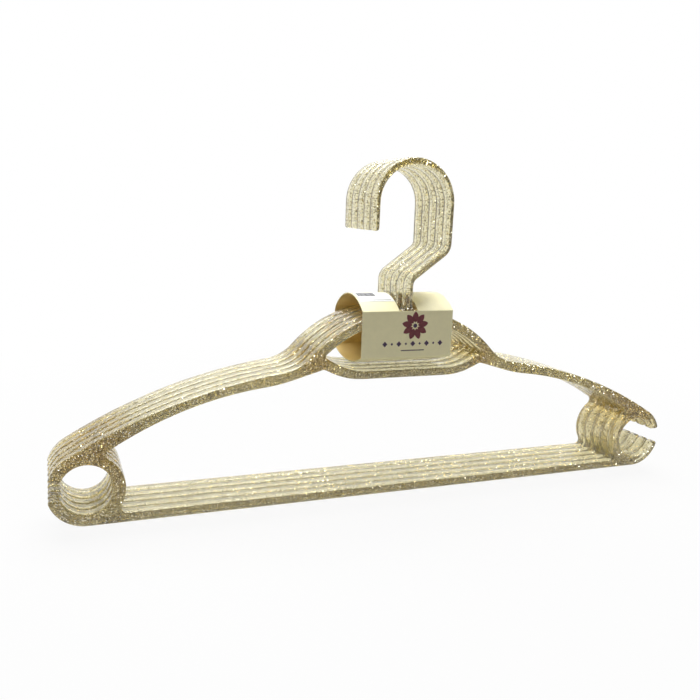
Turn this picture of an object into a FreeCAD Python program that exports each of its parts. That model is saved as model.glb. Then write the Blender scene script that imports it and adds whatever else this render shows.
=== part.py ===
import FreeCAD, Part
import math
import os
import re
import Sketcher

# A retail pack of moulded clothes hangers with a card sleeve round their shoulders.
# Frame: +X along the hangers, -Y is the front of the pack, +Z up. The origin is the axis of
# the rail that the hooks hang on, at mid depth of the pack. All lengths are in millimetres.

NODES_FOLDER = "parts"
SIDES = ("-", "")

# Driving dimensions: alias, value, what it sizes. A "drop" is measured down from the rail axis.
SIZES = [
    ("hanger_count", 5, "hangers in the pack"),
    ("moulding_depth", 7.0, "front to back size of every limb of a hanger"),
    ("rim_radius", 1.5, "rounding along the front and back edges of the limbs"),
    ("stack_gap", 0.9, "gap between neighbouring hangers at their bars"),
    ("lean_step", 0.4, "degrees that each hanger leans away from the one before it"),
    ("slide_step", 0.3, "sideways slip of each hanger from the one before it"),
    ("hook_radius", 21.0, "inner radius of the hook, which seats on the rail"),
    ("hook_width", 4.5, "width of the hook's limb seen from the front"),
    ("tip_length", 16.2, "straight end of the hook below the rail axis"),
    ("stem_fall", 17.6, "height of the slanting limb between the hook and the neck"),
    ("neck_length", 18.0, "neck, from the slanting limb down to the shoulders"),
    ("stem_bend", 5.0, "radius inside the two bends of the stem"),
    ("crown_drop", 61.8, "top of the shoulders at the neck"),
    ("crown_radius", 80.0, "curve of the top of the shoulders"),
    ("crown_half", 65.0, "half the span of the shoulder curve"),
    ("shoulder_width", 6.0, "width of the shoulder limb"),
    ("bow_width", 5.4, "width of the bow's limb"),
    ("bow_sag", 6.8, "depth of the bow below the place where it meets the shoulder"),
    ("bow_run", 14.0, "length of the bow's rise to that place"),
    ("node_run", 14.0, "distance of that place inside the end of the shoulder curve"),
    ("node_sag", 0.4, "depth of that place below the end of the shoulder curve"),
    ("arm_overlap", 5.0, "length of the arm's top that runs in under the shoulder curve"),
    ("arm_rise", 1.0, "height of the arm's top above the end of the shoulder curve"),
    ("arm_waist", 9.4, "height of the arm at its narrow end"),
    ("arm_belly_run", 13.0, "distance from the shoulder curve to the start of the arm's underside"),
    ("arm_top_radius", 304.0, "curve of the arm's top"),
    ("arm_under_radius", 200.0, "curve of the arm's underside"),
    ("arm_end_rise", 11.8, "top of the arm above the loop's centre, run out to the hanger's end"),
    ("arm_root_rise", 13.0, "underside of the arm above the loop's centre, run in to its centre line"),
    ("loop_spacing", 362.0, "distance between the centres of the two end loops"),
    ("loop_fall", 93.5, "centre of the end loops below the top of the shoulders"),
    ("loop_radius", 20.1, "outer radius of an end loop"),
    ("loop_hole_radius", 13.6, "radius of the hole in an end loop"),
    ("loop_hole_rise", 0.6, "centre of the hole above the centre of the loop"),
    ("bar_width", 6.0, "height of the bottom bar"),
    ("gap_height", 9.6, "mouth of an end loop"),
    ("gap_rise", 0.9, "middle of the mouth above the loop's centre"),
    ("jaw_round", 21.0, "curve from the arm's top down to the loop's mouth"),
    ("node_round", 28.0, "sweep from the shoulder into the arm"),
    ("bow_round", 45.0, "sweep of the bow up to the shoulder"),
    ("arm_sweep", 90.0, "sweep of the arm's underside"),
    ("web_round", 3.0, "rounding where a limb joins a loop or the bar"),
    ("neck_round", 3.0, "rounding where the neck joins the shoulders"),
    ("eye_round", 1.4, "rounding of the eye's pointed ends"),
    ("tip_round", 1.7, "rounding of free ends"),
    ("card_thickness", 0.5, "thickness of the card"),
    ("card_length", 58.0, "length of the sleeve along the hangers"),
    ("card_clearance", 0.6, "gap between the card's front panel and the front hanger"),
    ("card_slack", 4.9, "room behind the last hanger"),
    ("card_fold_fall", 0.2, "fold of the front panel below the top of the shoulders"),
    ("fold_step", 4.0, "depth of the back fold below the front one"),
    ("card_base_rise", 7.5, "bottom folds above the top of the bow"),
    ("card_arch_radius", 34.0, "curve of the arched top"),
    ("card_belly_radius", 56.0, "sag of the bottom panel"),
    ("card_back_fold_round", 7.0, "soft fold at the back"),
    ("slot_width", 12.0, "width of the slot that the necks pass through"),
    ("slot_end_gap", 1.4, "slot length left free behind the last neck"),
    ("label_thickness", 0.15, "thickness of the price label"),
    ("label_length", 21.0, "label size along the sleeve"),
    ("label_width", 14.5, "label size round the arch"),
    ("label_turn", 26.0, "degrees from the top of the arch to the label's front edge"),
    ("label_inset", 1.6, "distance of the label from the sleeve's end"),
]


# Values that follow from the driving dimensions: alias, formula.
FOLLOWING = [
    ("pitch", "moulding_depth + stack_gap"),
    ("neck_drop", "crown_drop - neck_length"),
    ("stem_drop", "neck_drop - stem_fall"),
    ("stem_offset", "hook_radius + hook_width / 2"),
    ("stem_mitre", "hook_width / 2 * tan(atan(stem_offset / stem_fall) / 2)"),
    ("crown_centre_drop", "crown_drop + crown_radius"),
    ("crown_end_drop", "crown_centre_drop - sqrt(crown_radius ^ 2 - crown_half ^ 2)"),
    ("node_half", "crown_half - node_run"),
    ("node_drop", "crown_end_drop + node_sag"),
    ("bow_half", "node_half - bow_run"),
    ("bow_drop", "node_drop + bow_sag"),
    ("bow_inner_half", "bow_half - bow_width / 4"),
    ("bow_top_drop", "bow_drop - bow_width"),
    ("eye_radius", "crown_radius - shoulder_width"),
    ("eye_end_drop", "crown_centre_drop - sqrt(eye_radius ^ 2 - node_half ^ 2)"),
    ("loop_offset", "loop_spacing / 2"),
    ("end_offset", "loop_offset + loop_radius"),
    ("loop_drop", "crown_drop + loop_fall"),
    ("base_drop", "loop_drop + loop_radius"),
    ("loop_hole_drop", "loop_drop - loop_hole_rise"),
    ("gap_drop", "loop_drop - gap_rise"),
    ("arm_start", "crown_half - arm_overlap"),
    ("arm_start_drop", "crown_end_drop - arm_rise"),
    ("arm_belly", "crown_half + arm_belly_run"),
    ("arm_belly_drop", "arm_start_drop + arm_waist"),
    ("arm_end_drop", "loop_drop - arm_end_rise"),
    ("arm_root_drop", "loop_drop - arm_root_rise"),
    ("stack_half", "(hanger_count - 1) / 2 * pitch + moulding_depth / 2"),
    ("lean_total", "(hanger_count - 1) / 2 * lean_step"),
    ("crown_half_depth", "stack_half + (base_drop - crown_drop) * sin(lean_total * 1deg)"),
    ("card_front", "crown_half_depth + card_clearance + card_thickness"),
    ("card_back", "crown_half_depth + card_slack + card_thickness"),
    ("card_fold_drop", "crown_drop + card_fold_fall"),
    ("card_back_fold_drop", "card_fold_drop + fold_step"),
    ("card_base_drop", "bow_top_drop - card_base_rise"),
    ("arch_chord", "sqrt((card_front + card_back) ^ 2 + fold_step ^ 2)"),
    ("arch_rise", "sqrt(card_arch_radius ^ 2 - arch_chord ^ 2 / 4)"),
    ("arch_centre_y", "(card_back - card_front) / 2 - arch_rise * fold_step / arch_chord"),
    ("arch_centre_drop",
     "(card_fold_drop + card_back_fold_drop) / 2 + arch_rise * (card_front + card_back) / arch_chord"),
    ("label_radius", "card_arch_radius + label_thickness"),
    ("label_end_turn", "label_width / card_arch_radius * 180 / pi - label_turn"),
]


def fill_sheet(doc):
    """Write the driving dimensions, and what follows from them, into a spreadsheet."""
    sheet = doc.addObject("Spreadsheet::Sheet", "sizes")
    rows = [(alias, str(value), meaning) for alias, value, meaning in SIZES]
    rows += [(alias, "=" + formula, "follows from the sizes above") for alias, formula in FOLLOWING]
    for row, (alias, content, meaning) in enumerate(rows, start=1):
        sheet.set(f"A{row}", alias)
        sheet.set(f"B{row}", content)
        sheet.set(f"C{row}", meaning)
        sheet.setAlias(f"B{row}", alias)
    doc.recompute()
    return sheet


def from_sheet(formula):
    """Point every alias in a formula at the spreadsheet."""
    aliases = {alias for alias, *_ in SIZES} | {alias for alias, _ in FOLLOWING}
    return re.sub(r"[a-z_]{3,}", lambda name: ("sizes." if name[0] in aliases else "") + name[0], formula)


def value_of(owner, formula):
    """The number that a formula gives with the sheet's present values."""
    return float(owner.evalExpression(from_sheet(formula)))


def origin_plane(body, role):
    """One of the body's own origin planes."""
    return next(item for item in body.Origin.OriginFeatures if item.Role == role)


def new_sketch(body, name, role):
    """An empty sketch on one of the body's origin planes."""
    sketch = body.newObject("Sketcher::SketchObject", name)
    sketch.AttachmentSupport = (origin_plane(body, role), [""])
    sketch.MapMode = "FlatFace"
    return sketch


def pin_point(sketch, geometry, point, across, up):
    """Hold a point of the sketch at the place that two formulas give."""
    for kind, formula in (("DistanceX", across), ("DistanceY", up)):
        size = value_of(sketch, formula)
        index = sketch.addConstraint(Sketcher.Constraint(kind, -1, 1, geometry, point, size))
        sketch.setExpression(f"Constraints[{index}]", from_sheet(formula))


def draw_circle(sketch, across, up, radius):
    """A full circle with its centre and radius tied to the sheet."""
    centre = FreeCAD.Vector(value_of(sketch, across), value_of(sketch, up), 0)
    circle = Part.Circle(centre, FreeCAD.Vector(0, 0, 1), value_of(sketch, radius))
    geometry = sketch.addGeometry(circle)
    pin_point(sketch, geometry, 3, across, up)
    index = sketch.addConstraint(Sketcher.Constraint("Radius", geometry, circle.Radius))
    sketch.setExpression(f"Constraints[{index}]", from_sheet(radius))


def arc_between(start, end, radius):
    """The short arc from start to end. A positive radius turns left, a negative one right."""
    chord = end - start
    rise = math.sqrt(max(radius ** 2 - chord.Length ** 2 / 4, 0.0))
    left = FreeCAD.Vector(-chord.y, chord.x, 0).normalize()
    centre = (start + end) / 2 + left * math.copysign(rise, radius)
    angles = [math.atan2(point.y - centre.y, point.x - centre.x) for point in (start, end)]
    if radius < 0:
        angles.reverse()
    circle = Part.Circle(centre, FreeCAD.Vector(0, 0, 1), abs(radius))
    return Part.ArcOfCircle(circle, angles[0], angles[1])


def draw_loop(sketch, corners):
    """A closed outline. Each corner is (across, up) or (across, up, turn), where turn is the
    signed radius of the arc that runs on to the next corner."""
    places = [FreeCAD.Vector(value_of(sketch, c[0]), value_of(sketch, c[1]), 0) for c in corners]
    ends = []
    for number, corner in enumerate(corners):
        start = places[number]
        end = places[(number + 1) % len(places)]
        turns_right = False
        if len(corner) == 2:
            geometry = sketch.addGeometry(Part.LineSegment(start, end))
        else:
            radius = value_of(sketch, corner[2])
            turns_right = radius < 0
            geometry = sketch.addGeometry(arc_between(start, end, radius))
        ends.append((geometry, 2 if turns_right else 1, 1 if turns_right else 2))
    for number, (geometry, first, _) in enumerate(ends):
        before, _, last = ends[number - 1]
        sketch.addConstraint(Sketcher.Constraint("Coincident", before, last, geometry, first))
        pin_point(sketch, geometry, first, *corners[number][:2])
    for (geometry, *_), corner in zip(ends, corners):
        if len(corner) == 3:
            size = abs(value_of(sketch, corner[2]))
            index = sketch.addConstraint(Sketcher.Constraint("Radius", geometry, size))
            sketch.setExpression(f"Constraints[{index}]", from_sheet(f"abs({corner[2]})"))


def pad(body, sketch, depth):
    """Raise the sketch to both sides of its plane."""
    feature = body.newObject("PartDesign::Pad", sketch.Name + "_pad")
    feature.Profile = sketch
    feature.SideType = "Symmetric"
    feature.setExpression("Length", from_sheet(depth))
    body.Document.recompute()
    return feature


def pocket_through(body, sketch):
    """Cut the sketch right through the body, to both sides of its plane."""
    feature = body.newObject("PartDesign::Pocket", sketch.Name + "_pocket")
    feature.Profile = sketch
    feature.SideType = "Symmetric"
    feature.Type = "ThroughAll"
    body.Document.recompute()
    return feature


def round_edges(body, name, radius, chosen):
    """Round the edges of the body's last feature that chosen(edge) picks."""
    base = body.Tip
    picked = [f"Edge{number}" for number, edge in enumerate(base.Shape.Edges, start=1) if chosen(edge)]
    feature = body.newObject("PartDesign::Fillet", f"{body.Name}_{name}")
    feature.Base = (base, picked)
    feature.setExpression("Radius", from_sheet(radius))
    body.Document.recompute()
    return feature


def corners_near(body, places):
    """A test that picks the edges along Y nearest to the given (across, up) places."""
    def runs_deep(edge):
        direction = edge.Vertexes[-1].Point - edge.Vertexes[0].Point
        return direction.Length > 0 and abs(direction.y) > 0.999 * direction.Length

    def middle(edge):
        return edge.CenterOfMass

    deep = [edge for edge in body.Tip.Shape.Edges if runs_deep(edge)]
    nearest = []
    for across, up in places:
        spot = FreeCAD.Vector(value_of(body, across), 0, value_of(body, up))
        nearest.append(min(deep, key=lambda edge: (middle(edge) - spot).Length))
    return lambda edge: any(edge.isSame(near) for near in nearest)


def both_sides(places):
    """The places and their mirror images across the hanger's middle."""
    return [(f"{side}({across})", up) for side in SIDES for across, up in places]


def draw_bar(body):
    """The straight bottom bar, tangent to the underside of both end loops."""
    sketch = new_sketch(body, body.Name + "_bar", "XZ_Plane")
    draw_loop(sketch, [
        ("-loop_offset", "-base_drop"),
        ("loop_offset", "-base_drop"),
        ("loop_offset", "bar_width - base_drop"),
        ("-loop_offset", "bar_width - base_drop"),
    ])
    pad(body, sketch, "moulding_depth")


def draw_loops(body):
    """The round end loops, still without their holes."""
    sketch = new_sketch(body, body.Name + "_loops", "XZ_Plane")
    for side in SIDES:
        draw_circle(sketch, side + "loop_offset", "-loop_drop", "loop_radius")
    pad(body, sketch, "moulding_depth")


def draw_arms(body):
    """The arms, which widen from the shoulders to the end loops and run out over them."""
    for name, side, over, under in (("left", "-", "", "-"), ("right", "", "-", "")):
        sketch = new_sketch(body, f"{body.Name}_{name}_arm", "XZ_Plane")
        draw_loop(sketch, [
            (side + "arm_start", "-arm_start_drop", over + "arm_top_radius"),
            (side + "end_offset", "-arm_end_drop"),
            (side + "end_offset", "-loop_drop"),
            (side + "loop_offset", "-loop_drop"),
            (side + "loop_offset", "-arm_root_drop", under + "arm_under_radius"),
            (side + "arm_belly", "-arm_belly_drop"),
            (side + "node_half", "-node_drop"),
        ])
        pad(body, sketch, "moulding_depth")
    jaws = both_sides([("end_offset", "-arm_end_drop")])
    round_edges(body, "jaw_sweep", "jaw_round", corners_near(body, jaws))


def draw_yoke(body):
    """The shoulders and the bow below them, with the eye between."""
    sketch = new_sketch(body, body.Name + "_yoke", "XZ_Plane")
    draw_loop(sketch, [
        ("crown_half", "-crown_end_drop", "crown_radius"),
        ("-crown_half", "-crown_end_drop"),
        ("-node_half", "-node_drop"),
        ("-bow_half", "-bow_drop"),
        ("bow_half", "-bow_drop"),
        ("node_half", "-node_drop"),
    ])
    pad(body, sketch, "moulding_depth")


def cut_eye(body):
    """The lens-shaped eye between the shoulders and the bow."""
    sketch = new_sketch(body, body.Name + "_eye", "XZ_Plane")
    draw_loop(sketch, [
        ("node_half", "-eye_end_drop", "eye_radius"),
        ("-node_half", "-eye_end_drop"),
        ("-bow_inner_half", "-bow_top_drop"),
        ("bow_inner_half", "-bow_top_drop"),
    ])
    pocket_through(body, sketch)


def draw_hook(body):
    """The open hook, its slanting stem and the neck, in one limb with the shoulders."""
    sketch = new_sketch(body, body.Name + "_hook", "XZ_Plane")
    draw_loop(sketch, [
        ("hook_radius + hook_width", "0", "hook_radius + hook_width"),
        ("0", "hook_radius + hook_width", "hook_radius + hook_width"),
        ("-(hook_radius + hook_width)", "0"),
        ("-(hook_radius + hook_width)", "-tip_length"),
        ("-hook_radius", "-tip_length"),
        ("-hook_radius", "0", "-hook_radius"),
        ("0", "hook_radius", "-hook_radius"),
        ("hook_radius", "0"),
        ("hook_radius", "stem_mitre - stem_drop"),
        ("-hook_width / 2", "stem_mitre - neck_drop"),
        ("-hook_width / 2", "-crown_drop - shoulder_width / 2"),
        ("hook_width / 2", "-crown_drop - shoulder_width / 2"),
        ("hook_width / 2", "-stem_mitre - neck_drop"),
        ("hook_radius + hook_width", "-stem_mitre - stem_drop"),
    ])
    pad(body, sketch, "moulding_depth")


def cut_loop_holes(body):
    """The holes of the end loops and the mouths that open them to the outside."""
    holes = new_sketch(body, body.Name + "_loop_holes", "XZ_Plane")
    mouths = new_sketch(body, body.Name + "_loop_mouths", "XZ_Plane")
    for side in SIDES:
        draw_circle(holes, side + "loop_offset", "-loop_hole_drop", "loop_hole_radius")
        draw_loop(mouths, [
            (side + "loop_offset", "-gap_drop - gap_height / 2"),
            (side + "(end_offset + loop_radius)", "-gap_drop - gap_height / 2"),
            (side + "(end_offset + loop_radius)", "-gap_drop + gap_height / 2"),
            (side + "loop_offset", "-gap_drop + gap_height / 2"),
        ])
    pocket_through(body, holes)
    pocket_through(body, mouths)


def round_corners(body):
    """Sweep the limbs into each other and round the free ends."""
    crown_foot = [("hook_width / 2", "-crown_drop")]
    nodes = [("crown_half", "-crown_end_drop")]
    bow_outer = [("bow_half", "-bow_drop")]
    bow_inner = [("bow_inner_half", "-bow_top_drop")]
    arm_belly = [("arm_belly", "-arm_belly_drop")]
    webs = [
        ("node_half", "-node_drop"),
        ("loop_offset - loop_radius / 4", "loop_radius - loop_drop"),
        ("loop_offset - loop_radius / 2", "bar_width - base_drop"),
    ]
    eye_ends = [("node_half + eye_round", "-eye_end_drop")]
    jaws = [
        (f"loop_offset + {reach}", f"-gap_drop {edge} gap_height / 2")
        for reach in ("loop_hole_radius", "loop_radius") for edge in "+-"
    ]
    stem_inner = [("hook_radius", "stem_mitre - stem_drop"), ("hook_width / 2", "-stem_mitre - neck_drop")]
    stem_outer = [
        ("hook_radius + hook_width", "-stem_mitre - stem_drop"),
        ("-hook_width / 2", "stem_mitre - neck_drop"),
    ]
    tips = [("-hook_radius", "-tip_length"), ("-(hook_radius + hook_width)", "-tip_length")]
    for name, radius, places in [
        ("node_sweep", "node_round", both_sides(nodes)),
        ("bow_sweep", "bow_round", both_sides(bow_outer)),
        ("bow_inner_sweep", "bow_round - bow_width", both_sides(bow_inner)),
        ("belly_sweep", "arm_sweep", both_sides(arm_belly)),
        ("webs", "web_round", both_sides(webs)),
        ("neck_foot", "neck_round", both_sides(crown_foot)),
        ("eye_ends", "eye_round", both_sides(eye_ends)),
        ("stem_inner", "stem_bend", stem_inner),
        ("stem_outer", "stem_bend + hook_width", stem_outer),
        ("jaws", "tip_round", both_sides(jaws)),
        ("tips", "tip_round", tips),
    ]:
        round_edges(body, name, radius, corners_near(body, places))


def round_rims(body):
    """Round the front and back edges of every limb."""
    face = value_of(body, "moulding_depth / 2")

    def on_rim(edge):
        ends = [abs(vertex.Point.y) for vertex in edge.Vertexes] + [abs(edge.CenterOfMass.y)]
        return all(abs(height - face) < Part.Precision.confusion() * 10 for height in ends)

    round_edges(body, "rims", "rim_radius", on_rim)


def make_moulding(doc):
    """One hanger, moulded in one piece, upright at the middle of the pack."""
    body = doc.addObject("PartDesign::Body", "moulding")
    draw_bar(body)
    draw_loops(body)
    draw_arms(body)
    draw_yoke(body)
    draw_hook(body)
    cut_eye(body)
    cut_loop_holes(body)
    round_corners(body)
    round_rims(body)
    return body


def place_hanger(doc, moulding, number):
    """A hanger in its place in the pack. It leans about its foot, away from the pack's middle,
    and lies a little to one side of the hanger in front of it."""
    hanger = doc.addObject("Part::Compound", f"hanger_{number}")
    hanger.Links = [moulding]
    step = f"({number} - (hanger_count + 1) / 2)"
    lean = f"-{step} * lean_step"
    hanger.Placement = FreeCAD.Placement(FreeCAD.Vector(), FreeCAD.Rotation(FreeCAD.Vector(1, 0, 0), 1))
    hanger.setExpression("Placement.Rotation.Angle", from_sheet(lean))
    hanger.setExpression("Placement.Base.x", from_sheet(f"-{step} * slide_step"))
    hanger.setExpression("Placement.Base.y", from_sheet(f"{step} * pitch - base_drop * sin({lean} * 1deg)"))
    hanger.setExpression("Placement.Base.z", from_sheet(f"base_drop * (cos({lean} * 1deg) - 1)"))
    return hanger


def make_card_sleeve(doc):
    """A strip of card folded into a closed sleeve, with a slot in its arched top for the necks."""
    body = doc.addObject("PartDesign::Body", "card_sleeve")
    wrap = new_sketch(body, "card_wrap", "YZ_Plane")
    draw_loop(wrap, [
        ("-card_front", "-card_base_drop", "card_belly_radius"),
        ("card_back", "-card_base_drop"),
        ("card_back", "-card_back_fold_drop", "card_arch_radius"),
        ("-card_front", "-card_fold_drop"),
    ])
    pad(body, wrap, "card_length")
    back_fold = FreeCAD.Vector(0, value_of(body, "card_back"), value_of(body, "-card_back_fold_drop"))

    def is_back_fold(edge):
        return (edge.CenterOfMass - back_fold).Length < edge.Length / 10

    round_edges(body, "back_fold", "card_back_fold_round", is_back_fold)
    folded = body.Tip
    end = value_of(body, "card_length / 2")
    faces = enumerate(folded.Shape.Faces, start=1)
    open_ends = [f"Face{number}" for number, face in faces if abs(abs(face.CenterOfMass.x) - end) < 0.001]
    shell = body.newObject("PartDesign::Thickness", "card_shell")
    shell.Base = (folded, open_ends)
    shell.Reversed = True
    shell.Join = "Intersection"
    shell.setExpression("Value", from_sheet("card_thickness"))
    doc.recompute()
    cut_neck_slot(body)
    return body


def cut_neck_slot(body):
    """The slot for the necks, from the front fold to just behind the last neck."""
    slot = new_sketch(body, "neck_slot", "XY_Plane")
    draw_loop(slot, [
        ("-slot_width / 2", "-card_front - card_clearance"),
        ("slot_width / 2", "-card_front - card_clearance"),
        ("slot_width / 2", "crown_half_depth + slot_end_gap"),
        ("-slot_width / 2", "crown_half_depth + slot_end_gap"),
    ])
    pocket = body.newObject("PartDesign::Pocket", "neck_slot_pocket")
    pocket.Profile = slot
    pocket.setExpression("Length", from_sheet("card_fold_drop"))
    body.Document.recompute()


def make_price_label(doc):
    """The adhesive label, curved to the arched top beside the neck slot."""
    body = doc.addObject("PartDesign::Body", "price_label")
    outline = new_sketch(body, "label_outline", "YZ_Plane")
    corners = []
    for radius, first, second in (
        ("card_arch_radius", "-label_turn", "label_end_turn"),
        ("label_radius", "label_end_turn", "-label_turn"),
    ):
        turn = f"-{radius}" if first == "-label_turn" else radius
        for angle in (first, second):
            across = f"arch_centre_y + {radius} * sin({angle} * 1deg)"
            up = f"-arch_centre_drop + {radius} * cos({angle} * 1deg)"
            corners.append((across, up, turn) if angle == first else (across, up))
    draw_loop(outline, corners)
    pad(body, outline, "label_length")
    body.setExpression("Placement.Base.x", from_sheet("label_inset + label_length / 2 - card_length / 2"))
    return body


def check_document(doc, nodes):
    """Stop if an object failed to rebuild or a sub-part has no sound shape."""
    failed = [item.Name for item in doc.Objects if {"Invalid", "Error"} & set(item.State)]
    unsound = [node.Label for node in nodes if node.Shape.isNull() or not node.Shape.isValid()]
    if failed or unsound:
        raise RuntimeError(f"failed: {failed}, unsound: {unsound}")


doc = FreeCAD.newDocument("hanger_pack")
sheet = fill_sheet(doc)
moulding = make_moulding(doc)
nodes = [place_hanger(doc, moulding, number) for number in range(1, int(sheet.hanger_count) + 1)]
nodes += [make_card_sleeve(doc), make_price_label(doc)]
doc.recompute()
check_document(doc, nodes)
os.makedirs(NODES_FOLDER, exist_ok=True)
for node in nodes:
    node.Shape.exportStep(f"{NODES_FOLDER}/{node.Label}.step")
    print(node.Label, round(node.Shape.Volume, 1), node.Shape.BoundBox)
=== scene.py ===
import math
import bmesh
import bpy
from mathutils import Euler, Matrix, Vector


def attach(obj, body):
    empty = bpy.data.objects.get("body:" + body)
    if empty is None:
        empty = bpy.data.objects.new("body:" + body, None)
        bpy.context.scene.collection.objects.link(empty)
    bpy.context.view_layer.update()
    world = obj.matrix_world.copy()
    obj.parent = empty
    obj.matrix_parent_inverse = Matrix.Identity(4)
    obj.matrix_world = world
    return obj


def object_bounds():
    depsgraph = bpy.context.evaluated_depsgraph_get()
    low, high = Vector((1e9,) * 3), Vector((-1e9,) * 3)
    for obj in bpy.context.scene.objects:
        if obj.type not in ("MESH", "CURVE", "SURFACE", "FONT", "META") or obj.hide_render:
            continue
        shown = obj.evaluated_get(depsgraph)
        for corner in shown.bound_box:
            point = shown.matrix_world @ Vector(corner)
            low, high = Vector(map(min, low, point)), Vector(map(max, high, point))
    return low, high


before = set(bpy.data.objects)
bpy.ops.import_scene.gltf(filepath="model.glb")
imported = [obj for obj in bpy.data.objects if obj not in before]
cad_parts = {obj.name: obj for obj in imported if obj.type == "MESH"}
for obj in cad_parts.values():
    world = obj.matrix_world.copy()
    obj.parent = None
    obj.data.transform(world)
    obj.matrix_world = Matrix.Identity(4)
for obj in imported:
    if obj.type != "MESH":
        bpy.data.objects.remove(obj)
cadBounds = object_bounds()
print("frame loaded:", len(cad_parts), "nodes")


# a few short cuts for node trees
def newMaterial(name):
    material = bpy.data.materials.new(name)
    material.use_nodes = True
    return material, material.node_tree, material.node_tree.nodes["Principled BSDF"]


def setInputs(tree, node, inputs):
    # another node's socket is linked, and a plain value is set
    for key, value in inputs.items():
        if hasattr(value, "is_output"):
            tree.links.new(value, node.inputs[key])
        else:
            node.inputs[key].default_value = value


def addNode(tree, kind, settings=None, inputs=None):
    node = tree.nodes.new(kind)
    for key, value in (settings or {}).items():
        setattr(node, key, value)
    setInputs(tree, node, inputs or {})
    return node


def mathNode(tree, operation, first, second=0.0):
    return addNode(tree, "ShaderNodeMath", {"operation": operation},
                   {0: first, 1: second}).outputs[0]


def vectorNode(tree, operation, first, second=(0.0, 0.0, 0.0)):
    node = addNode(tree, "ShaderNodeVectorMath", {"operation": operation}, {0: first, 1: second})
    single = operation in ("DISTANCE", "LENGTH", "DOT_PRODUCT")
    return node.outputs["Value" if single else "Vector"]


def rampNode(tree, factor, stops):
    ramp = addNode(tree, "ShaderNodeValToRGB", inputs={0: factor})
    while len(ramp.color_ramp.elements) < len(stops):
        ramp.color_ramp.elements.new(0.5)
    for element, (place, colour) in zip(ramp.color_ramp.elements, stops):
        element.position = place
        element.color = (*colour, 1)
    return ramp.outputs[0]


def blendNode(tree, factor, places, first, second):
    return rampNode(tree, factor, list(zip(places, (first, second))))


def mixColour(tree, factor, first, second):
    # a mix node keeps its two colours in sockets 6 and 7, and the result in 2
    first, second = (colour if hasattr(colour, "is_output") else (*colour, 1)
                     for colour in (first, second))
    return addNode(tree, "ShaderNodeMix", {"data_type": "RGBA"},
                   {0: factor, 6: first, 7: second}).outputs[2]


def mixVector(tree, factor, first, second):
    # the same for two vectors: sockets 4 and 5, and the result in 1
    return addNode(tree, "ShaderNodeMix", {"data_type": "VECTOR"},
                   {0: factor, 4: first, 5: second}).outputs[1]


def softStep(tree, value, start, end):
    node = addNode(tree, "ShaderNodeMapRange", {"interpolation_type": "SMOOTHSTEP"},
                   {"Value": value, "From Min": start, "From Max": end})
    return node.outputs[0]


def noiseNode(tree, place, grain):
    return addNode(tree, "ShaderNodeTexNoise", inputs={"Vector": place, **grain}).outputs[0]


def bumpNode(tree, height, depth):
    return addNode(tree, "ShaderNodeBump", inputs={"Height": height, **depth}).outputs[0]


def scaled(colour, amount):
    return tuple(amount * channel for channel in colour)


# short cuts for objects
def addObject(name, data):
    thing = bpy.data.objects.new(name, data)
    bpy.context.scene.collection.objects.link(thing)
    return thing


def addPrint(name, shape, material):
    # turns the built shape into an object with its faces outward
    bmesh.ops.recalc_face_normals(shape, faces=shape.faces)
    mesh = bpy.data.meshes.new(name)
    shape.to_mesh(mesh)
    shape.free()
    mesh.materials.append(material)
    return addObject(name, mesh)


def addSheet(name, corners, material):
    mesh = bpy.data.meshes.new(name)
    mesh.from_pydata(corners, [], [(0, 1, 2, 3)])
    mesh.materials.append(material)
    return addObject(name, mesh)


def dressNode(name, material):
    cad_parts[name].data.materials.clear()
    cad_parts[name].data.materials.append(material)


# clear champagne plastic with gold glitter, a little denser where the mould's flows met
plastic = {
    "clear": (0.99, 0.965, 0.80),
    "dense": (0.94, 0.82, 0.50),
    "absorb": (0.84, 0.77, 0.42),  # what is left of the light along a deep path
    "absorbDensity": 80.0,         # per metre
    "glints": {                    # the larger, lighter flakes
        "scale": 1450, "share": 0.34, "size": 0.42,
        "colours": [
            (0.0, (0.50, 0.38, 0.12)), (0.3, (0.80, 0.67, 0.32)),
            (0.65, (1.0, 0.93, 0.66)), (1.0, (1.0, 0.99, 0.92)),
        ],
    },
    "specks": {                    # the fine, darker ones
        "scale": 1600, "share": 0.36, "size": 0.38,
        "colours": [
            (0.0, (0.04, 0.030, 0.008)), (0.6, (0.20, 0.15, 0.045)), (1.0, (0.45, 0.34, 0.12)),
        ],
    },
    "denseFlakes": 0.25,           # added to a layer's share in a dense zone
    "flakeTilt": 1.4,              # how far a flake may lean out of the surface
    "glintMetal": 0.75,
    "ripple": {"Scale": 240.0, "Detail": 2.0},
    "rippleDepth": {"Strength": 0.3, "Distance": 0.0008},
    "roughness": 0.04,
    "ior": 1.49,
    "clearShare": 0.90,            # how much light passes between the flakes
    "flowMeets": [                 # place and reach of each denser zone, metres
        ((-0.178, 0.0, -0.138), 0.034), ((0.178, 0.0, -0.138), 0.034),
        ((-0.053, 0.0, -0.094), 0.014), ((0.053, 0.0, -0.094), 0.014),
    ],
    "flowCore": 0.25,              # the part of the reach that is dense all through
}


def flowMeets(tree, place):
    total = None
    for centre, reach in plastic["flowMeets"]:
        flat = vectorNode(tree, "MULTIPLY", place, (1.0, 0.0, 1.0))
        away = vectorNode(tree, "DISTANCE", flat, centre)
        fade = softStep(tree, away, plastic["flowCore"] * reach, reach)
        near = mathNode(tree, "SUBTRACT", 1.0, fade)
        total = near if total is None else mathNode(tree, "MAXIMUM", total, near)
    return total


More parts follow.
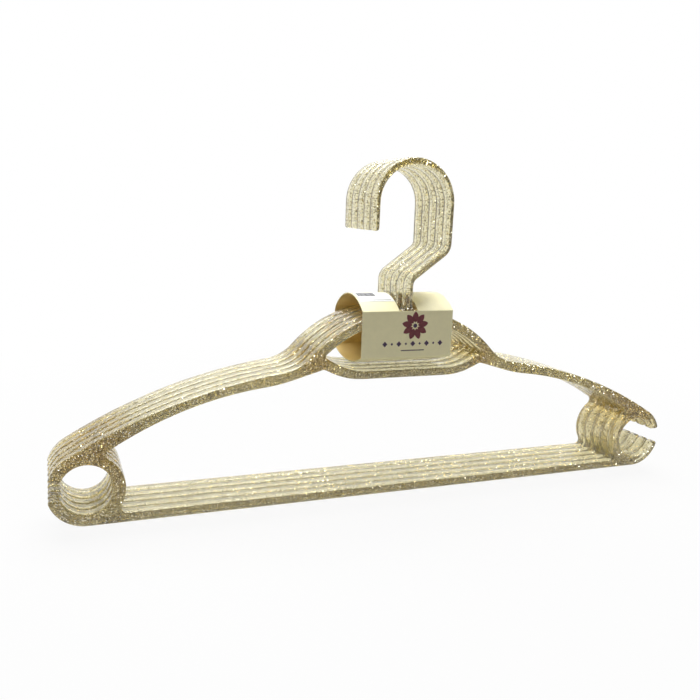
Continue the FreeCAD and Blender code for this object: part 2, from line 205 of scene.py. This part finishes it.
def flakeLayer(tree, place, dense, layer):
    # every cell has a random colour: red picks the flakes, green tints them, all three lean them
    cells = addNode(tree, "ShaderNodeTexVoronoi", {"voronoi_dimensions": "3D"},
                    {"Vector": place, "Scale": layer["scale"]})
    split = addNode(tree, "ShaderNodeSeparateColor", inputs={0: cells.outputs["Color"]})
    small = mathNode(tree, "LESS_THAN", cells.outputs["Distance"], layer["size"])
    extra = mathNode(tree, "MULTIPLY", dense, plastic["denseFlakes"])
    share = mathNode(tree, "ADD", extra, layer["share"])
    picked = mathNode(tree, "LESS_THAN", split.outputs[0], share)
    lean = vectorNode(tree, "SUBTRACT", cells.outputs["Color"], (0.5, 0.5, 0.5))
    colour = rampNode(tree, split.outputs[1], layer["colours"])
    return mathNode(tree, "MULTIPLY", small, picked), colour, lean


def makePlastic():
    material, tree, shader = newMaterial("glitterPlastic")
    place = addNode(tree, "ShaderNodeTexCoord").outputs["Object"]
    dense = flowMeets(tree, place)
    glint, glintColour, glintLean = flakeLayer(tree, place, dense, plastic["glints"])
    speck, speckColour, speckLean = flakeLayer(tree, place, dense, plastic["specks"])
    flake = mathNode(tree, "MAXIMUM", glint, speck)
    clear = mathNode(tree, "SUBTRACT", 1.0, flake)
    body = mixColour(tree, dense, plastic["clear"], plastic["dense"])
    body = mixColour(tree, speck, body, speckColour)
    # each flake lies at its own slant, and the moulded skin between them ripples a little
    skin = bumpNode(tree, noiseNode(tree, place, plastic["ripple"]), plastic["rippleDepth"])
    lean = mixVector(tree, glint, speckLean, glintLean)
    leanAmount = mathNode(tree, "MULTIPLY", flake, plastic["flakeTilt"])
    slant = addNode(tree, "ShaderNodeVectorMath", {"operation": "SCALE"},
                    {0: lean, "Scale": leanAmount}).outputs[0]
    setInputs(tree, shader, {
        "Base Color": mixColour(tree, glint, body, glintColour),
        "Metallic": mathNode(tree, "MULTIPLY", glint, plastic["glintMetal"]),
        "Transmission Weight": mathNode(tree, "MULTIPLY", clear, plastic["clearShare"]),
        "Normal": vectorNode(tree, "NORMALIZE", vectorNode(tree, "ADD", skin, slant)),
        "Roughness": plastic["roughness"],
        "IOR": plastic["ior"],
    })
    depth = addNode(tree, "ShaderNodeVolumeAbsorption", inputs={
        "Color": (*plastic["absorb"], 1), "Density": plastic["absorbDensity"]})
    tree.links.new(depth.outputs[0], tree.nodes["Material Output"].inputs["Volume"])
    return material


hangers = sorted(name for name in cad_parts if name.startswith("hanger_"))
glitterPlastic = makePlastic()
for name in hangers:
    dressNode(name, glitterPlastic)
print("plastic on", len(hangers), "hangers")


# cream card of the sleeve, with a brown painted shade on its inside faces for the shade inside
# the sleeve
card = {
    "outside": (0.95, 0.895, 0.57),
    # painted shade: brown that stands in for the shade inside the sleeve
    "inside": (0.90, 0.68, 0.30),
    "middle": (0.0, 0.002, -0.076),   # a point inside the sleeve
    "insideBelow": -0.004,            # faces that look at the middle more than this are inside
    "pulp": {"Scale": 260.0, "Detail": 5.0, "Roughness": 0.7},
    "pulpShade": 0.94,                # the darkest spots, against the card's colour
    "pulpRange": (0.3, 0.7),          # noise at the darkest and at the lightest
    "pulpDepth": {"Strength": 0.1, "Distance": 0.0003},
    "roughness": 0.38,
    "front": -0.02199,                # where the front panel's face lies
}


def makeCard():
    material, tree, shader = newMaterial("creamCard")
    coordinates = addNode(tree, "ShaderNodeTexCoord")
    place = coordinates.outputs["Object"]
    outward = vectorNode(tree, "SUBTRACT", place, card["middle"])
    across = vectorNode(tree, "MULTIPLY", outward, (0.0, 1.0, 1.0))
    facing = vectorNode(tree, "DOT_PRODUCT", across, coordinates.outputs["Normal"])
    # the faces inside the sleeve, which get the painted shade colour
    insideShadeMask = mathNode(tree, "LESS_THAN", facing, card["insideBelow"])
    pulp = noiseNode(tree, place, card["pulp"])
    shade = scaled(card["outside"], card["pulpShade"])
    tone = blendNode(tree, pulp, card["pulpRange"], shade, card["outside"])
    setInputs(tree, shader, {
        "Base Color": mixColour(tree, insideShadeMask, tone, card["inside"]),
        "Normal": bumpNode(tree, pulp, card["pulpDepth"]),
        "Roughness": card["roughness"],
    })
    return material


dressNode("card_sleeve", makeCard())
print("card done")


# printed ornament on the front panel: a plain rosette, a row of lozenges and a short rule
ornament = {
    "maroon": (0.13, 0.018, 0.025),
    "purple": (0.045, 0.022, 0.06),
    "inkDepth": 0.00004,
    "inkGrain": {"Scale": 900.0, "Detail": 3.0},
    "inkRange": (0.3, 0.75),          # noise at the full and at the thin ink
    "thinInk": (1.5, 0.01),           # times the full ink's colour, and added to it
    "inkRoughness": 0.45,
    "rosette": (0.0045, -0.0708),     # centre on the panel, metres
    "heart": 0.0013,                  # radius
    "heartCorners": 24,
    "petals": 9,
    "petalStart": 1.35,               # times the heart's radius
    "petalLength": 0.0068,
    "petalWidth": 0.0038,
    "petalFullness": 0.8,             # lower is rounder
    "petalSteps": 8,
    "lozengeRow": (0.0035, -0.0815),
    "lozenges": 9,
    "lozengeStep": 0.0045,
    "lozengeSize": (0.0032, 0.0034),
    "smallLozenge": 0.5,              # every other one, against the full size
    "rule": (0.0035, -0.0858),        # middle of its lower edge
    "ruleSize": (0.0150, 0.0006),
}


def inkMaterial(name, colour):
    material, tree, shader = newMaterial(name)
    place = addNode(tree, "ShaderNodeTexCoord").outputs["Object"]
    times, added = ornament["thinInk"]
    thin = tuple(times * channel + added for channel in colour)
    grain = noiseNode(tree, place, ornament["inkGrain"])
    setInputs(tree, shader, {
        "Base Color": blendNode(tree, grain, ornament["inkRange"], colour, thin),
        "Roughness": ornament["inkRoughness"],
    })
    return material


def printFlat(name, outlines, material):
    # closed outlines in x and z, raised off the front panel by the depth of the ink
    shape = bmesh.new()
    for outline in outlines:
        rows = []
        for y in (card["front"], card["front"] - ornament["inkDepth"]):
            rows.append([shape.verts.new((x, y, z)) for x, z in outline])
        low, high = rows
        shape.faces.new(high)
        for number in range(len(outline)):
            after = (number + 1) % len(outline)
            shape.faces.new((low[number], low[after], high[after], high[number]))
    piece = addPrint(name, shape, material)
    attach(piece, "sleeve")


def turnsOf(count, start=0.0):
    return [start + 2 * math.pi * number / count for number in range(count)]


def ringOf(centre, radius, count):
    return [(centre[0] + radius * math.cos(turn), centre[1] + radius * math.sin(turn))
            for turn in turnsOf(count)]


def petalOutline(turn):
    # a pointed leaf that starts a little outside the rosette's heart
    start = ornament["petalStart"] * ornament["heart"]
    length, width = ornament["petalLength"], ornament["petalWidth"]
    side = []
    for number in range(ornament["petalSteps"] + 1):
        t = number / ornament["petalSteps"]
        out = 0.5 * width * math.sin(math.pi * t) ** ornament["petalFullness"]
        side.append((start + length * t, out))
    leaf = side + [(along, -out) for along, out in reversed(side[1:-1])]
    cosine, sine = math.cos(turn), math.sin(turn)
    x, z = ornament["rosette"]
    return [(x + along * cosine - out * sine, z + along * sine + out * cosine)
            for along, out in leaf]


def lozengeOutlines():
    x, z = ornament["lozengeRow"]
    outlines = []
    for number in range(ornament["lozenges"]):
        middle = x + (number - (ornament["lozenges"] - 1) / 2) * ornament["lozengeStep"]
        amount = 1.0 if number % 2 == 0 else ornament["smallLozenge"]
        wide, tall = scaled(ornament["lozengeSize"], amount)
        outlines.append([(middle - wide / 2, z), (middle, z - tall / 2),
                         (middle + wide / 2, z), (middle, z + tall / 2)])
    return outlines


def ruleOutline():
    x, z = ornament["rule"]
    length, high = ornament["ruleSize"]
    left, right = x - length / 2, x + length / 2
    return [(left, z), (right, z), (right, z + high), (left, z + high)]


def makeOrnament():
    maroonInk = inkMaterial("maroonInk", ornament["maroon"])
    purpleInk = inkMaterial("purpleInk", ornament["purple"])
    petals = [petalOutline(turn) for turn in turnsOf(ornament["petals"], math.pi / 2)]
    heart = ringOf(ornament["rosette"], ornament["heart"], ornament["heartCorners"])
    printFlat("rosettePetals", petals, maroonInk)
    printFlat("rosetteHeart", [heart], purpleInk)
    printFlat("lozengeRow", lozengeOutlines(), purpleInk)
    printFlat("shortRule", [ruleOutline()], purpleInk)


makeOrnament()
print("ornament done")


# white price label with plain grey bars
label = {
    "paper": (0.86, 0.88, 0.92),
    "fibre": {"Scale": 500.0, "Detail": 3.0},
    "fibreShade": 0.96,
    "fibreRange": (0.3, 0.7),
    "ink": (0.02, 0.02, 0.025),
    "roughness": 0.45,
    "archMiddle": (0.000179, -0.087782),  # y and z of the arch's axis
    "archRadius": 0.03415,                # outside of the label
    "inkDepth": 0.00003,
    "barSteps": 6,                        # flats that a bar is bent into
    "uprightBars": [                      # from and to along x
        (-0.0268, -0.0256), (-0.0252, -0.0238), (-0.0235, -0.0226), (-0.0222, -0.0206),
        (-0.0203, -0.0193), (-0.0189, -0.0174), (-0.0171, -0.0160),
    ],
    "uprightTurns": (-15.0, -3.5),        # degrees round the arch
    "longBar": (-0.0262, -0.0080),
    "longBarTurns": (-23.6, -22.9),
}


def makeLabel():
    material, tree, shader = newMaterial("labelPaper")
    place = addNode(tree, "ShaderNodeTexCoord").outputs["Object"]
    fibre = noiseNode(tree, place, label["fibre"])
    shade = scaled(label["paper"], label["fibreShade"])
    setInputs(tree, shader, {
        "Base Color": blendNode(tree, fibre, label["fibreRange"], shade, label["paper"]),
        "Roughness": label["roughness"],
    })
    return material


def archEdge(radius, first, last):
    # points in y and z round the arch, between two turns in degrees
    middleY, middleZ = label["archMiddle"]
    points = []
    for number in range(label["barSteps"] + 1):
        turn = math.radians(first + (last - first) * number / label["barSteps"])
        points.append((middleY + radius * math.sin(turn), middleZ + radius * math.cos(turn)))
    return points


def addBar(shape, ends, turns):
    rows = []
    for radius in (label["archRadius"], label["archRadius"] + label["inkDepth"]):
        edge = archEdge(radius, *turns)
        rows.append([[shape.verts.new((x, y, z)) for y, z in edge] for x in ends])
    low, high = rows
    for k in range(label["barSteps"]):
        shape.faces.new((high[0][k], high[1][k], high[1][k + 1], high[0][k + 1]))
        for side in (0, 1):
            shape.faces.new((low[side][k], low[side][k + 1], high[side][k + 1], high[side][k]))
    for end in (0, label["barSteps"]):
        shape.faces.new((low[0][end], low[1][end], high[1][end], high[0][end]))


def makeBars():
    shape = bmesh.new()
    for ends in label["uprightBars"]:
        addBar(shape, ends, label["uprightTurns"])
    addBar(shape, label["longBar"], label["longBarTurns"])
    bars = addPrint("labelBars", shape, inkMaterial("greyInk", label["ink"]))
    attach(bars, "sleeve")


dressNode("price_label", makeLabel())
makeBars()
print("label done")


# where the view is taken from
cameraView = {
    "place": (-0.18002, -0.40076, -0.00352),
    "azimuth": -20.81,       # degrees
    "elevation": 11.23,
    "roll": 2.09,
    "lens": 37.04,           # millimetres
    "sensor": 36.0,          # width, millimetres
    "nearest": 0.01,
}


def makeCamera():
    data = bpy.data.cameras.new("viewCamera")
    data.sensor_width = cameraView["sensor"]
    data.lens = cameraView["lens"]
    data.clip_start = cameraView["nearest"]
    camera = addObject("viewCamera", data)
    tilt = math.radians(90 - cameraView["elevation"])
    turn = math.radians(cameraView["azimuth"])
    roll = Matrix.Rotation(math.radians(cameraView["roll"]), 3, "Z")
    aim = Euler((tilt, 0, turn)).to_matrix() @ roll
    camera.matrix_world = Matrix.Translation(cameraView["place"]) @ aim.to_4x4()
    bpy.context.scene.camera = camera


makeCamera()
print("camera done")


# white room: a lit floor and sky, one wide lamp above and two dark cloths
studio = {
    "worldLight": 0.12,
    "lamp": {"power": 30.0, "size": 1.2, "place": (-0.05, 0.22, 0.95), "target": (0, 0, -0.08)},
    "flagCloth": (0.10, 0.08, 0.04),
    "flagRoughness": 1.0,
    "flagFeet": {                     # where each cloth stands, x and y of its two ends
        "frontFlag": ((-1.6, -1.0), (1.2, -1.0)),
        "rightFlag": ((1.0, -0.9), (1.0, 0.3)),
    },
    "flagHeights": (-0.1, 1.2),
    "floorDrop": 0.0075,              # room for the bars when the hangers swing
    "floorReach": 4.0,
    "floorTone": (0.45, 0.45, 0.45),
    "floorRoughness": 0.9,
    "floorShow": 0.93,                # how white the floor near the object looks to the eye
    "floorFade": (0.2, 0.55),         # from here to there it turns plain white, metres
}


def seenByEye(tree):
    rays = addNode(tree, "ShaderNodeLightPath").outputs
    seen = mathNode(tree, "MAXIMUM", rays["Is Camera Ray"], rays["Is Glossy Ray"])
    return mathNode(tree, "MAXIMUM", seen, rays["Is Transmission Ray"])


def whiteWhere(tree, share, shader):
    # plain white in place of the lit surface, for the rays that the share picks
    white = addNode(tree, "ShaderNodeEmission", inputs={"Color": (1, 1, 1, 1), "Strength": 1.0})
    mix = addNode(tree, "ShaderNodeMixShader",
                  inputs={0: share, 1: shader.outputs[0], 2: white.outputs[0]})
    tree.links.new(mix.outputs[0], tree.nodes["Material Output"].inputs[0])


def makeFloor():
    material, tree, shader = newMaterial("paleFloor")
    setInputs(tree, shader, {
        "Base Color": (*studio["floorTone"], 1),
        "Roughness": studio["floorRoughness"],
        "Specular IOR Level": 0.0,
    })
    place = addNode(tree, "ShaderNodeTexCoord").outputs["Object"]
    flat = vectorNode(tree, "MULTIPLY", place, (1.0, 1.0, 0.0))
    away = softStep(tree, vectorNode(tree, "LENGTH", flat), *studio["floorFade"])
    near = mathNode(tree, "SUBTRACT", 1.0, away)
    shaded = mathNode(tree, "MULTIPLY", near, 1.0 - studio["floorShow"])
    plain = mathNode(tree, "SUBTRACT", 1.0, shaded)
    whiteWhere(tree, mathNode(tree, "MULTIPLY", seenByEye(tree), plain), shader)
    low, reach = cadBounds[0].z - studio["floorDrop"], studio["floorReach"]
    corners = [(x * reach, y * reach, low) for x, y in ((-1, -1), (1, -1), (1, 1), (-1, 1))]
    floor = addSheet("floor", corners, material)


def makeWorld():
    world = bpy.data.worlds.new("studioWorld")
    world.use_nodes = True
    bpy.context.scene.world = world
    tree = world.node_tree
    lit = mathNode(tree, "MULTIPLY", seenByEye(tree), 1.0 - studio["worldLight"])
    setInputs(tree, tree.nodes["Background"], {
        "Color": (1, 1, 1, 1),
        "Strength": mathNode(tree, "ADD", lit, studio["worldLight"]),
    })


def makeLamp():
    lamp = studio["lamp"]
    data = bpy.data.lights.new("topLamp", "AREA")
    data.energy, data.shape, data.size = lamp["power"], "DISK", lamp["size"]
    topLamp = addObject("topLamp", data)
    topLamp.location = lamp["place"]
    aim = Vector(lamp["target"]) - Vector(lamp["place"])
    topLamp.rotation_euler = aim.to_track_quat("-Z", "Y").to_euler()


def makeFlag(name):
    # a dark cloth that the clear plastic shows along its edges, though the camera sees it white
    material, tree, shader = newMaterial(name)
    setInputs(tree, shader, {
        "Base Color": (*studio["flagCloth"], 1),
        "Roughness": studio["flagRoughness"],
    })
    whiteWhere(tree, addNode(tree, "ShaderNodeLightPath").outputs["Is Camera Ray"], shader)
    start, end = studio["flagFeet"][name]
    low, high = studio["flagHeights"]
    flag = addSheet(name, [(*start, low), (*end, low), (*end, high), (*start, high)], material)


makeFloor()
makeWorld()
makeLamp()
for name in studio["flagFeet"]:
    makeFlag(name)
bpy.context.scene.view_settings.view_transform = "Standard"
print("studio done")
